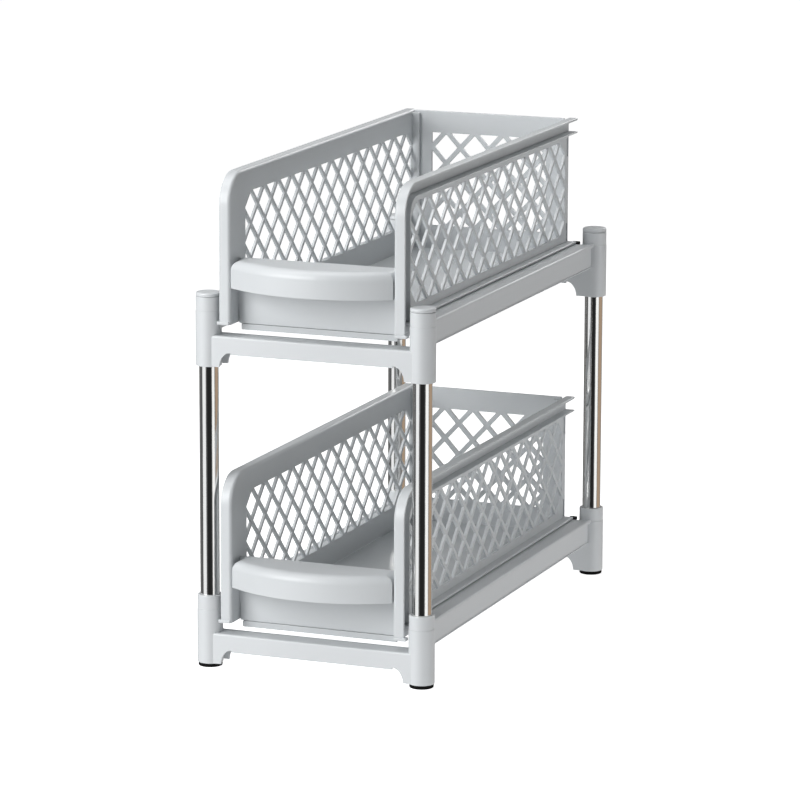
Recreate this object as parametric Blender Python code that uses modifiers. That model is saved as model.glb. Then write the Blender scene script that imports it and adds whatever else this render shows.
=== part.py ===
"""Two-tier pull-out storage rack.

Each tier is a pair of moulded end frames joined by a moulded rail on each side. Chromed posts hold
the upper tier over the lower one, rubber feet plug the lower sleeves and caps plug the upper ones.
A knock-down lattice drawer runs on the ledges of each tier's two rails.

Metres, +Z up. The drawer handles face -Y and +X is the right-hand side seen from the front. The
origin is on the floor, under the middle of the rack's outer box. Inside the tiers, places are
counted from the plane of symmetry (X), from the front posts' axes (Y) and from the floor or from
the underside of the tier's sleeves (Z).
"""

import math

import bmesh
import bpy
from mathutils import Matrix

# Posts and tiers
post_spacing_x = 0.1740
post_spacing_y = 0.3900
post_radius = 0.0075
post_wall = 0.0009
tier_pitch = 0.2320
fit_gap = 0.0003
cut_overrun = 0.0010
weld_distance = 0.000005
grid_digits = 7
flat_angle = 0.1
round_steps = 16

# Feet and caps
foot_radius = 0.0093
foot_thickness = 0.0027
foot_edge_radius = 0.0008
cap_radius = 0.0098
cap_thickness = 0.0028
cap_edge_radius = 0.0013
plug_length = 0.0120

# Sleeves of the end frames
sleeve_radius = 0.0100
sleeve_step = 0.0002
sleeve_over_ledge = 0.0097
seam_below_ledge = 0.0011
stop_ring_height = 0.0250
stop_ring_thickness = 0.0025
stop_ring_radius = 0.0055

# Cross rail of the end frames, an upside-down channel with an arch cut under it
cross_rail_front = 0.0082
cross_rail_back = 0.0100
cross_rail_clearance = 0.0031
cross_rail_height = 0.0140
cross_rail_wall = 0.0020
cross_rail_edge_radius = 0.0016
gusset_reach = 0.0090
gusset_rise = 0.0118
gusset_foot = 0.0020
gusset_lift = 0.0004

# Side rails
web_face_offset = 0.0006
web_thickness = 0.0018
web_height = 0.0190
web_bead = 0.0007
lip_reach = 0.0024
lip_width = 0.0034
lip_height = 0.0028
lip_rise = 0.0009
ledge_height = 0.0437
ledge_thickness = 0.0022
ledge_clearance = 0.0005
ledge_front_overhang = 0.0015
ledge_rear_setback = 0.0114
tongue_depth = 0.0012
stop_shelf_thickness = 0.0020
stop_shelf_overlap = 0.0040

# Rear stops
stop_length = 0.0070
stop_width = 0.0060
stop_rise = 0.0020
stop_edge_gap = 0.0004
stop_stem_radius = 0.0015
stop_stem_length = 0.0060

# Drawer, from its runner's underside up and down
panel_thickness = 0.0025
post_clearance = 0.0017
flange_reach = 0.0068
flange_thickness = 0.0020
drawer_front_overhang = 0.0070
drawer_below_runner = 0.0112
drawer_above_runner = 0.1040
corner_radius = 0.0240
inner_flange_drop = 0.0110
inner_flange_setback = 0.0110
inner_flange_thickness = 0.0013
inner_corner_radius = 0.0130
flange_tail = 0.0011
flange_foot_lift = 0.0022
foot_lip_reach = 0.0017
foot_lip_front = 0.0010
foot_lip_depth = 0.0057
runner_thickness = 0.0020
return_width = 0.0060
return_thickness = 0.0030
rear_rim = 0.0024
rounding_steps = 6
edge_steps = 3

# Lattice
side_pitch = 0.0270
back_pitch_x = 0.0250
strip_width = 0.0035
lattice_front_margin = 0.02975
lattice_rear_margin = 0.00865
lattice_bottom_margin = 0.0197
lattice_top_margin = 0.0179
back_lattice_width = 0.1000
smallest_hole_share = 0.35

# Hooks that join the drawer's panels
hook_height = 0.0150
hook_low = 0.0137
hook_high = 0.0840
hook_relief = 0.0003
lug_width = 0.0240
lug_drop = 0.0052
lug_hook_width = 0.0140
lug_slot_height = 0.0026
lug_slot_drop = 0.0034
lug_place_shares = (0.16, 0.50, 0.84)

# Front panel and handle
front_panel_setback = 0.0160
front_panel_thickness = 0.0022
front_panel_height = 0.0502
front_panel_drop = 0.0005
handle_height = 0.0210
handle_bow = 0.0200
handle_wall = 0.0020
handle_edge_radius = 0.0072
handle_side_gap = 0.0005
handle_arc_steps = 14
handle_edge_steps = 4
round_profile = 0.5

# Tray
tray_rise = 0.0008
tray_floor_thickness = 0.0020
tray_skirt_drop = 0.0054
tray_skirt_inset = 0.0025
tray_skirt_wall = 0.0018
tray_front_step = 0.0010
tray_rear_step = 0.0010

# Places worked out from the sizes above
post_x = post_spacing_x / 2
sleeve_bottom = foot_thickness + fit_gap
sleeve_bore = post_radius + fit_gap
sleeve_height = ledge_height + sleeve_over_ledge
ledge_top = sleeve_bottom + ledge_height
web_bottom = ledge_top - web_height
panel_outer = post_x - sleeve_radius - post_clearance - flange_reach
panel_inner = panel_outer - panel_thickness
flange_edge = panel_outer + flange_reach
ledge_inner = panel_outer + ledge_clearance
web_outer = post_x + web_face_offset
web_inner = web_outer - web_thickness
lip_outer = web_outer + lip_reach
ledge_rear = post_spacing_y - ledge_rear_setback
stop_front = ledge_rear + stop_edge_gap
runner_bottom = ledge_top + fit_gap
panel_bottom = runner_bottom - drawer_below_runner
panel_top = runner_bottom + drawer_above_runner
drawer_front = -drawer_front_overhang
flange_rear = stop_front - fit_gap
panel_rear = flange_rear - flange_tail
back_face = panel_rear - rear_rim - panel_thickness
front_face = drawer_front + front_panel_setback
front_bottom = panel_bottom - front_panel_drop
front_top = front_bottom + front_panel_height
tray_top = panel_bottom + tray_rise
tray_bottom = panel_bottom - tray_skirt_drop
notch_floor = tray_top - tray_floor_thickness / 2
cross_rail_top = tray_bottom - cross_rail_clearance
cross_rail_bottom = cross_rail_top - cross_rail_height
origin_y = (post_spacing_y + sleeve_radius + drawer_front - handle_bow) / 2


def make_material(name, color, roughness, metallic):
    """A plain shader in the colour of the real material."""
    material = bpy.data.materials.new(name)
    material.use_nodes = True
    shader = material.node_tree.nodes["Principled BSDF"]
    shader.inputs["Base Color"].default_value = (*color, 1)
    shader.inputs["Roughness"].default_value = roughness
    shader.inputs["Metallic"].default_value = metallic
    return material


def add_object(name, mesh):
    """An object of that mesh in the rack's collection."""
    item = bpy.data.objects.new(name, mesh)
    rack.objects.link(item)
    return item


def add_empty(name, parent, location):
    """A holder that carries the pieces of one tier or one drawer."""
    holder = bpy.data.objects.new(name, None)
    holder.empty_display_size = post_radius
    rack.objects.link(holder)
    holder.parent = parent
    holder.location = location
    return holder


def evaluated_mesh(item):
    """A plain mesh of the object as its modifiers leave it."""
    graph = bpy.context.evaluated_depsgraph_get()
    return bpy.data.meshes.new_from_object(item.evaluated_get(graph))


def snap(mesh):
    """Round every place to the same fine grid, so that flush faces are exactly flush, and weld."""
    shape = bmesh.new()
    shape.from_mesh(mesh)
    for vertex in shape.verts:
        vertex.co = [round(value, grid_digits) for value in vertex.co]
    bmesh.ops.remove_doubles(shape, verts=shape.verts, dist=weld_distance)
    shape.to_mesh(mesh)
    shape.free()


def merge_flat_faces(mesh):
    """Join the triangles of each flat face, so that none is left with its corners in one line."""
    shape = bmesh.new()
    shape.from_mesh(mesh)
    limit = math.radians(flat_angle)
    bmesh.ops.dissolve_limit(shape, angle_limit=limit, verts=shape.verts, edges=shape.edges)
    shape.to_mesh(mesh)
    shape.free()


def bake(item):
    """Replace the object's mesh by its evaluated mesh."""
    bpy.context.view_layer.update()
    source = item.data
    item.data = evaluated_mesh(item)
    item.modifiers.clear()
    bpy.data.meshes.remove(source)
    snap(item.data)
    return item


def combine(body, tool, operation, solver="EXACT"):
    """Apply one Boolean to the body and remove the tool."""
    step = body.modifiers.new(operation.title(), "BOOLEAN")
    step.operation = operation
    step.solver = solver
    step.object = tool
    bake(body)
    bpy.data.objects.remove(tool)
    return body


def block(name, low, high):
    """A box between two corners."""
    mesh = bpy.data.meshes.new(name)
    item = bmesh.new()
    bmesh.ops.create_cube(item, size=1)
    size = [top - bottom for bottom, top in zip(low, high)]
    middle = [(top + bottom) / 2 for bottom, top in zip(low, high)]
    bmesh.ops.scale(item, vec=size, verts=item.verts)
    bmesh.ops.translate(item, vec=middle, verts=item.verts)
    item.to_mesh(mesh)
    item.free()
    snap(mesh)
    return add_object(name, mesh)


def turned(name, profile, place=(0, 0, 0)):
    """A turned piece from (radius, height) points that run down its outer side."""
    mesh = bpy.data.meshes.new(name)
    outline = bmesh.new()
    points = [outline.verts.new((radius, 0, height)) for radius, height in profile]
    for start, end in zip(points, points[1:]):
        outline.edges.new((start, end))
    if profile[0][0] > 0:
        outline.edges.new((points[-1], points[0]))
    outline.to_mesh(mesh)
    outline.free()
    item = add_object(name, mesh)
    screw = item.modifiers.new("Turn", "SCREW")
    screw.axis = "Z"
    screw.steps = round_steps
    screw.render_steps = round_steps
    screw.use_merge_vertices = True
    screw.merge_threshold = weld_distance
    screw.use_smooth_shade = True
    bake(item)
    item.data.transform(Matrix.Translation(place))
    snap(item.data)
    return item


def arc(center, radii, start, end, steps=rounding_steps):
    """Points on a round or oval arc, its angles in degrees."""
    angles = [math.radians(start + (end - start) * step / steps) for step in range(steps + 1)]
    return [(center[0] + radii[0] * math.cos(a), center[1] + radii[1] * math.sin(a)) for a in angles]


def slab(name, loops, low, high, plane):
    """A flat outline with holes, swept between two levels across its plane (YZ, XZ or XY)."""
    outline = bpy.data.curves.new(name, "CURVE")
    outline.dimensions = "2D"
    outline.fill_mode = "BOTH"
    outline.extrude = (high - low) / 2
    for loop in loops:
        spline = outline.splines.new("POLY")
        spline.points.add(len(loop) - 1)
        for point, (across, up) in zip(spline.points, loop):
            point.co = (across, up, 0, 1)
        spline.use_cyclic_u = True
    drawing = bpy.data.objects.new(name, outline)
    rack.objects.link(drawing)
    middle = (high + low) / 2
    if plane == "YZ":
        drawing.matrix_world = Matrix(((0, 0, 1, middle), (1, 0, 0, 0), (0, 1, 0, 0), (0, 0, 0, 1)))
    elif plane == "XZ":
        drawing.matrix_world = Matrix(((1, 0, 0, 0), (0, 0, -1, middle), (0, 1, 0, 0), (0, 0, 0, 1)))
    else:
        drawing.location.z = middle
    bpy.context.view_layer.update()
    mesh = evaluated_mesh(drawing)
    mesh.transform(drawing.matrix_world)
    snap(mesh)
    merge_flat_faces(mesh)
    bpy.data.objects.remove(drawing)
    return add_object(name, mesh)


def mirrored(name, mesh):
    """The other hand of a mesh, across the plane of symmetry."""
    twin = mesh.copy()
    twin.name = name
    twin.transform(Matrix.Scale(-1, 4, (1, 0, 0)))
    twin.flip_normals()
    return twin


def clipped_diamond(center, half, low, high):
    """A diamond cut off at the borders of the lattice field."""
    points = [(center[0] + half[0], center[1]), (center[0], center[1] + half[1])]
    points += [(center[0] - half[0], center[1]), (center[0], center[1] - half[1])]
    for axis in (0, 1):
        for limit, sign in ((low[axis], 1), (high[axis], -1)):
            kept = []
            for one, two in zip(points, points[1:] + points[:1]):
                inside_one = sign * (one[axis] - limit)
                inside_two = sign * (two[axis] - limit)
                if inside_one >= 0:
                    kept.append(one)
                if inside_one * inside_two < 0:
                    share = inside_one / (inside_one - inside_two)
                    kept.append(tuple(a + (b - a) * share for a, b in zip(one, two)))
            points = kept
            if not points:
                return points
    return points


def lattice(low, high, pitch, node_in_middle):
    """Outlines of the holes between crossed diagonal strips that fill a field."""
    middle = [(a + b) / 2 for a, b in zip(low, high)]
    half = [step / 2 - strip_width / math.sqrt(2) for step in pitch]
    reach = [int((b - a) / step) + 1 for a, b, step in zip(low, high, pitch)]
    holes = []
    for row in range(-reach[1], reach[1] + 1):
        for column in range(-reach[0], reach[0] + 1):
            if (row + column) % 2 != int(node_in_middle):
                continue
            center = (middle[0] + column * pitch[0] / 2, middle[1] + row * pitch[1] / 2)
            hole = clipped_diamond(center, half, low, high)
            if not hole:
                continue
            spans = [max(p[axis] for p in hole) - min(p[axis] for p in hole) for axis in (0, 1)]
            if min(spans[0] / half[0], spans[1] / half[1]) >= 2 * smallest_hole_share:
                holes.append(hole)
    return holes


def make_end_frame():
    """Two sleeves and the arched cross rail between them, moulded as one piece."""
    half = post_x
    inset = cross_rail_edge_radius
    front = -cross_rail_front
    back = cross_rail_back
    top = cross_rail_top
    inner_top = top - cross_rail_wall
    low = sleeve_bottom + gusset_lift
    section = arc((front + inset, top - inset), (inset, inset), 180, 90, edge_steps)
    section += arc((back - inset, top - inset), (inset, inset), 90, 0, edge_steps)
    section += [(back, low), (back - cross_rail_wall, low)]
    section += [(back - cross_rail_wall, inner_top), (front + cross_rail_wall, inner_top)]
    section += [(front + cross_rail_wall, low), (front, low)]
    frame = slab("end_frame", [section], -half, half, "YZ")

    arch_side = half - sleeve_radius - gusset_foot - gusset_reach
    below = sleeve_bottom - cut_overrun
    underside = cross_rail_bottom
    right = arc((arch_side, sleeve_bottom), (gusset_reach, gusset_rise), 90, 0)
    left = [(-across, up) for across, up in reversed(right)]
    arch = right + [(arch_side + gusset_reach, below), (-arch_side - gusset_reach, below)] + left
    arch += [(-arch_side, underside), (arch_side, underside)]
    cutter = slab("arch", [arch], front - cut_overrun, back + cut_overrun, "XZ")
    combine(frame, cutter, "DIFFERENCE")

    sleeve_top = sleeve_bottom + sleeve_height
    core_radius = (sleeve_radius + sleeve_bore) / 2
    core = [(0, top + cut_overrun), (core_radius, top + cut_overrun), (core_radius, below), (0, below)]
    neck = sleeve_radius - sleeve_step
    seam = ledge_top - seam_below_ledge
    ring_low = sleeve_bottom + stop_ring_height
    ring_high = ring_low + stop_ring_thickness
    profile = [(neck, sleeve_top), (neck, seam), (sleeve_radius, seam), (sleeve_radius, sleeve_bottom)]
    profile += [(sleeve_bore, sleeve_bottom), (sleeve_bore, ring_low), (stop_ring_radius, ring_low)]
    profile += [(stop_ring_radius, ring_high), (sleeve_bore, ring_high), (sleeve_bore, sleeve_top)]
    for x in (-half, half):
        combine(frame, turned("core", core, (x, 0, 0)), "DIFFERENCE")
    for x in (-half, half):
        combine(frame, turned("sleeve", profile, (x, 0, 0)), "UNION")
    for side in (-1, 1):
        edges = sorted((side * (web_inner - fit_gap), side * (web_outer + fit_gap)))
        low = (edges[0], sleeve_radius - tongue_depth - fit_gap, web_bottom - fit_gap)
        high = (edges[1], sleeve_radius + cut_overrun, ledge_top - ledge_thickness + fit_gap)
        combine(frame, block("pocket", low, high), "DIFFERENCE")
    return frame


def make_right_rail():
    """Ledge, web and lip as one extrusion, notched round the sleeves, with the stop's shelf."""
    bottom = web_bottom
    ledge_under = ledge_top - ledge_thickness
    lip_top = ledge_top + lip_rise
    section = [(ledge_inner, ledge_top), (lip_outer - lip_width, ledge_top)]
    section += [(lip_outer - lip_width, lip_top), (lip_outer, lip_top), (lip_outer, lip_top - lip_height)]
    section += [(web_outer, lip_top - lip_height), (web_outer, bottom + web_bead)]
    section += [(web_outer + web_bead, bottom + web_bead), (web_outer + web_bead, bottom)]
    section += [(web_inner, bottom), (web_inner, ledge_under), (ledge_inner, ledge_under)]
    rail = slab("right_rail", [section], -ledge_front_overhang, ledge_rear, "XZ")

    rear_post = post_spacing_y
    tail = block("tail", (web_inner, ledge_rear - cut_overrun, bottom), (web_outer, rear_post, ledge_top))
    combine(rail, tail, "UNION")
    shelf_outer = post_x - sleeve_radius - fit_gap
    shelf_rear = stop_front + stop_length
    shelf_high = ledge_under + stop_edge_gap
    low = (ledge_inner, ledge_rear - stop_shelf_overlap, shelf_high - stop_shelf_thickness)
    combine(rail, block("shelf", low, (shelf_outer, shelf_rear, shelf_high)), "UNION")

    reach = sleeve_radius + fit_gap
    cutter_top = lip_top + cut_overrun
    cutter_low = bottom - cut_overrun
    notch = [(0, cutter_top), (reach, cutter_top), (reach, cutter_low), (0, cutter_low)]
    for y in (0, rear_post):
        combine(rail, turned("notch", notch, (post_x, y, 0)), "DIFFERENCE")
    seat = sleeve_radius - tongue_depth
    inside = sleeve_radius + cut_overrun
    for near, far in ((seat, inside), (rear_post - inside, rear_post - seat)):
        tongue = block("tongue", (web_inner, near, bottom), (web_outer, far, ledge_under))
        combine(rail, tongue, "UNION")

    hole_radius = stop_stem_radius + fit_gap
    hole = [(0, shelf_high + cut_overrun), (hole_radius, shelf_high + cut_overrun)]
    hole += [(hole_radius, low[2] - cut_overrun), (0, low[2] - cut_overrun)]
    place = (stop_center_x(), stop_front + stop_length / 2, 0)
    combine(rail, turned("stem_hole", hole, place), "DIFFERENCE")
    return rail


def stop_center_x():
    """The rear stop stands at the outer end of its shelf, in line with the runner."""
    return post_x - sleeve_radius - fit_gap - stop_edge_gap - stop_width / 2


def make_right_stop():
    """Rubber block with a stem that is pushed through the shelf."""
    seat = ledge_top - ledge_thickness + stop_edge_gap + fit_gap
    top = ledge_top + stop_rise
    x = stop_center_x()
    low = (x - stop_width / 2, stop_front, seat)
    stop = block("right_stop", low, (x + stop_width / 2, stop_front + stop_length, top))
    stem_top = (seat + top) / 2
    stem_low = seat - stop_stem_length
    stem = [(0, stem_top), (stop_stem_radius, stem_top), (stop_stem_radius, stem_low), (0, stem_low)]
    return combine(stop, turned("stem", stem, (x, stop_front + stop_length / 2, 0)), "UNION")


def make_post():
    """Tube that stands on the lower sleeve's ring and carries the upper one's."""
    low = sleeve_bottom + stop_ring_height + stop_ring_thickness + fit_gap
    high = sleeve_bottom + tier_pitch + stop_ring_height - fit_gap
    bore = post_radius - post_wall
    profile = [(post_radius, high), (post_radius, low), (bore, low), (bore, high)]
    return turned("post", profile)


def make_foot():
    """Rubber disc whose plug fills the lower end of a sleeve."""
    edge = foot_edge_radius
    plug = sleeve_bore - fit_gap
    top = foot_thickness + plug_length
    profile = [(0, top), (plug, top), (plug, foot_thickness), (foot_radius, foot_thickness)]
    profile += [(foot_radius, edge), (foot_radius - edge, 0), (0, 0)]
    return turned("foot", profile)


def make_cap():
    """Moulded disc with a rounded edge whose plug fills the upper end of a sleeve."""
    edge = cap_edge_radius
    seat = sleeve_bottom + tier_pitch + sleeve_height + fit_gap
    top = seat + cap_thickness
    plug = sleeve_bore - fit_gap
    profile = [(0, top)] + arc((cap_radius - edge, top - edge), (edge, edge), 90, 0, edge_steps)
    profile += [(cap_radius, seat), (plug, seat), (plug, seat - plug_length), (0, seat - plug_length)]
    return turned("cap", profile)


def ribbon(front, top, radius, thickness, rear, foot):
    """Outline of a flange that runs forward along the top and down the front edge."""
    outer = [(rear, top)] + arc((front + radius, top - radius), (radius, radius), 90, 180)
    outer.append((front, foot))
    hollow = radius - thickness
    inner = arc((front + radius, top - radius), (hollow, hollow), 180, 90)
    return outer + [(front + thickness, foot)] + inner + [(rear, top - thickness)]


def rectangle(low, high):
    """Corners of an upright rectangle."""
    return [low, (high[0], low[1]), high, (low[0], high[1])]


def make_right_panel():
    """Lattice side with two outer flanges, the runner, the rear return and slots for the hooks."""
    front = drawer_front
    outline = [(panel_rear, panel_top)]
    turn = (front + corner_radius, panel_top - corner_radius)
    outline += arc(turn, (corner_radius, corner_radius), 90, 180)
    outline.append((front, panel_bottom))
    slots = []
    length = panel_rear - front
    for share in lug_place_shares:
        middle = front + length * share
        near = middle - lug_width / 2
        far = middle + lug_width / 2
        outline += [(near, panel_bottom), (near, panel_bottom - lug_drop)]
        outline += [(far, panel_bottom - lug_drop), (far, panel_bottom)]
        slot_low = panel_bottom - lug_slot_drop
        low = (middle - lug_hook_width / 2, slot_low)
        slots.append(rectangle(low, (middle + lug_hook_width / 2, slot_low + lug_slot_height)))
    outline.append((panel_rear, panel_bottom))
    gap = hook_relief
    for z in (panel_bottom + hook_low, panel_bottom + hook_high):
        high = (back_face + panel_thickness + gap, z + hook_height)
        slots.append(rectangle((back_face - gap, z), high))
    low = (front_face - gap, panel_bottom + hook_low)
    high = (front_face + front_panel_thickness + gap, panel_bottom + hook_low + hook_height)
    slots.append(rectangle(low, high))
    field_low = (front + lattice_front_margin, panel_bottom + lattice_bottom_margin)
    field_high = (panel_rear - lattice_rear_margin, panel_top - lattice_top_margin)
    holes = lattice(field_low, field_high, (side_pitch, side_pitch), False)
    panel = slab("right_panel", [outline] + slots + holes, panel_inner, panel_outer, "YZ")

    foot = panel_bottom + flange_foot_lift
    root = (panel_inner + panel_outer) / 2
    outer = ribbon(front, panel_top, corner_radius, flange_thickness, flange_rear, foot)
    combine(panel, slab("flange", [outer], root, flange_edge, "YZ"), "UNION", "MANIFOLD")
    second_front = front + inner_flange_setback
    second_top = panel_top - inner_flange_drop
    second_wall = inner_flange_thickness
    lowest = runner_bottom + runner_thickness / 2
    second = ribbon(second_front, second_top, inner_corner_radius, second_wall, flange_rear, lowest)
    combine(panel, slab("second_flange", [second], root, flange_edge, "YZ"), "UNION", "MANIFOLD")
    low = (root, second_front, runner_bottom)
    runner = block("runner", low, (flange_edge, flange_rear, runner_bottom + runner_thickness))
    combine(panel, runner, "UNION", "MANIFOLD")
    lip_front = front - foot_lip_front
    low = (root, lip_front, panel_bottom)
    high = (flange_edge + foot_lip_reach, lip_front + foot_lip_depth, foot + fit_gap)
    combine(panel, block("foot_lip", low, high), "UNION", "MANIFOLD")
    rear = back_face - fit_gap
    low = (panel_inner - return_width, rear - return_thickness, notch_floor + fit_gap)
    high = (root, rear, panel_top - flange_thickness)
    return combine(panel, block("corner_return", low, high), "UNION", "MANIFOLD")


def make_back_panel():
    """Lattice back with a hook near each end of its side edges."""
    half = panel_inner - fit_gap
    bottom = front_bottom
    field_low = (-back_lattice_width / 2, panel_bottom + lattice_bottom_margin)
    field_high = (back_lattice_width / 2, panel_top - lattice_top_margin)
    holes = lattice(field_low, field_high, (back_pitch_x, side_pitch), True)
    outline = [(-half, bottom), (half, bottom)]
    tip = panel_outer - fit_gap
    levels = []
    for z in (panel_bottom + hook_low, panel_bottom + hook_high):
        levels.append((z + hook_relief, z + hook_height - hook_relief))
    for low, high in levels:
        outline += [(half, low), (tip, low), (tip, high), (half, high)]
    outline += [(half, panel_top), (-half, panel_top)]
    for low, high in reversed(levels):
        outline += [(-half, high), (-tip, high), (-tip, low), (-half, low)]
    return slab("back_panel", [outline] + holes, back_face, back_face + panel_thickness, "XZ")


def bowed_block(name, half, front, bow, rear, bottom, top, edge_radius):
    """A block with a bowed front whose upper edge is rounded except along its straight back."""
    radius = (half * half + bow * bow) / (2 * bow)
    swing = math.degrees(math.asin(half / radius))
    outline = arc((0, front - bow + radius), (radius, radius), -90 - swing, -90 + swing, handle_arc_steps)
    outline += [(half, rear), (-half, rear)]
    item = slab(name, [outline], bottom, top, "XY")
    shape = bmesh.new()
    shape.from_mesh(item.data)
    reach = edge_radius / 2
    rim = []
    for edge in shape.edges:
        one, two = edge.verts
        level = min(one.co.z, two.co.z) > top - reach
        along_back = min(one.co.y, two.co.y) > rear - reach
        if level and not along_back:
            rim.append(edge)
    bmesh.ops.bevel(shape, geom=rim, offset=edge_radius, segments=handle_edge_steps,
                    profile=round_profile, affect="EDGES")
    shape.to_mesh(item.data)
    shape.free()
    return item


def make_front_panel():
    """Front wall with hooks at its ends and a bowed hood over the finger space."""
    half = panel_inner - fit_gap
    back = front_face + front_panel_thickness
    panel = block("front_panel", (-half, front_face, front_bottom), (half, back, front_top))
    hood_half = panel_inner - handle_side_gap
    hood_bottom = front_top - handle_height
    sunk = front_face + front_panel_thickness / 2
    hood = bowed_block("hood", hood_half, drawer_front, handle_bow, sunk, hood_bottom, front_top,
                       handle_edge_radius)
    inner_half = hood_half - handle_wall
    inner_front = drawer_front + handle_wall
    inner_rear = front_face + front_panel_thickness / 4
    pocket = bowed_block("finger_space", inner_half, inner_front, handle_bow, inner_rear,
                         hood_bottom - cut_overrun, front_top - handle_wall,
                         handle_edge_radius - handle_wall)
    combine(hood, pocket, "DIFFERENCE")
    combine(panel, hood, "UNION")
    tip = panel_outer - fit_gap
    low_z = panel_bottom + hook_low + hook_relief
    high_z = panel_bottom + hook_low + hook_height - hook_relief
    for side in (-1, 1):
        ends = sorted((side * (half - cut_overrun), side * tip))
        hook = block("hook", (ends[0], front_face, low_z), (ends[1], back, high_z))
        combine(panel, hook, "UNION")
    return panel


def make_tray():
    """Drawer floor with rear corner notches, a skirt and hooks that rest in the panels' lugs."""
    front = front_face - tray_front_step
    behind_front = front_face + front_panel_thickness + fit_gap
    before_back = back_face - fit_gap
    rear = back_face + panel_thickness + tray_rear_step
    sill = front_bottom - fit_gap
    skirt = panel_inner - tray_skirt_inset
    floor_under = tray_top - tray_floor_thickness
    section = [(front, tray_bottom), (front, sill), (behind_front, sill), (behind_front, tray_top)]
    section += [(before_back, tray_top), (before_back, sill), (rear, sill), (rear, tray_bottom)]
    tray = slab("tray", [section], -skirt, skirt, "YZ")
    wall = tray_skirt_wall
    low = (-skirt + wall, behind_front + wall, tray_bottom - cut_overrun)
    high = (skirt - wall, before_back - wall, floor_under)
    combine(tray, block("hollow", low, high), "DIFFERENCE")
    wide = panel_inner - fit_gap
    low = (-wide, behind_front, floor_under)
    combine(tray, block("floor", low, (wide, before_back, tray_top)), "UNION")
    for side in (-1, 1):
        ends = sorted((side * (panel_inner - return_width - fit_gap), side * panel_outer))
        low = (ends[0], before_back - return_thickness - fit_gap, notch_floor)
        high = (ends[1], back_face, tray_top + cut_overrun)
        combine(tray, block("notch", low, high), "DIFFERENCE")
    tip = panel_outer - fit_gap
    hook_bottom = panel_bottom - lug_slot_drop + fit_gap
    hook_top = panel_bottom - lug_slot_drop + lug_slot_height - fit_gap
    length = panel_rear - drawer_front
    for share in lug_place_shares:
        middle = drawer_front + length * share
        reach = lug_hook_width / 2 - fit_gap
        for side in (-1, 1):
            ends = sorted((side * (skirt - wall / 2), side * tip))
            low = (ends[0], middle - reach, hook_bottom)
            combine(tray, block("hook", low, (ends[1], middle + reach, hook_top)), "UNION")
    return tray


def finish(item, material):
    """Give the pattern piece its material, and shade its round faces smooth and its flat ones flat."""
    mesh = item.data
    mesh.materials.clear()
    mesh.materials.append(material)
    mesh.shade_smooth()
    mesh.set_sharp_from_angle(angle=math.radians(35))
    bpy.data.objects.remove(item)
    return mesh


def place(name, mesh, parent, location=(0, 0, 0), turn=0):
    """One piece of the rack under the holder that carries it."""
    item = add_object(name, mesh)
    item.parent = parent
    item.location = location
    item.rotation_euler.z = turn
    return item


for leftover in list(bpy.data.objects):
    bpy.data.objects.remove(leftover)
rack = bpy.data.collections.new("pull_out_storage_rack")
bpy.context.scene.collection.children.link(rack)

frame_plastic = make_material("grey_frame_plastic", (0.62, 0.65, 0.67), 0.42, 0.0)
drawer_plastic = make_material("grey_drawer_plastic", (0.58, 0.61, 0.63), 0.42, 0.0)
chrome = make_material("chromed_tube", (0.80, 0.80, 0.79), 0.10, 1.0)
rubber = make_material("black_rubber", (0.02, 0.02, 0.02), 0.75, 0.0)

end_frame = finish(make_end_frame(), frame_plastic)
right_rail = finish(make_right_rail(), frame_plastic)
left_rail = mirrored("left_rail", right_rail)
right_stop = finish(make_right_stop(), rubber)
left_stop = mirrored("left_stop", right_stop)
post = finish(make_post(), chrome)
foot = finish(make_foot(), rubber)
cap = finish(make_cap(), frame_plastic)
right_panel = finish(make_right_panel(), drawer_plastic)
left_panel = mirrored("left_panel", right_panel)
back_panel = finish(make_back_panel(), drawer_plastic)
front_panel = finish(make_front_panel(), drawer_plastic)
tray = finish(make_tray(), drawer_plastic)

base = add_empty("rack_base", None, (0, -origin_y, 0))
for y_name, y in (("front", 0), ("back", post_spacing_y)):
    for x_name, x in (("left", -post_x), ("right", post_x)):
        place(f"post_{y_name}_{x_name}", post, base, (x, y, 0))
        place(f"foot_{y_name}_{x_name}", foot, base, (x, y, 0))
        place(f"cap_{y_name}_{x_name}", cap, base, (x, y, 0))

for level, tier_name in enumerate(("lower", "upper")):
    tier = add_empty(f"{tier_name}_tier", base, (0, 0, level * tier_pitch))
    place(f"{tier_name}_front_frame", end_frame, tier)
    place(f"{tier_name}_back_frame", end_frame, tier, (0, post_spacing_y, 0), math.pi)
    place(f"{tier_name}_left_rail", left_rail, tier)
    place(f"{tier_name}_right_rail", right_rail, tier)
    place(f"{tier_name}_left_stop", left_stop, tier)
    place(f"{tier_name}_right_stop", right_stop, tier)
    slide = add_empty(f"{tier_name}_drawer_slide", tier, (0, 0, runner_bottom))
    at_slide = (0, 0, -runner_bottom)
    place(f"{tier_name}_drawer_left_panel", left_panel, slide, at_slide)
    place(f"{tier_name}_drawer_right_panel", right_panel, slide, at_slide)
    place(f"{tier_name}_drawer_back_panel", back_panel, slide, at_slide)
    place(f"{tier_name}_drawer_front_panel", front_panel, slide, at_slide)
    place(f"{tier_name}_drawer_tray", tray, slide, at_slide)
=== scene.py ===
import math

import bmesh
import bpy
from mathutils import Matrix, Vector


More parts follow.
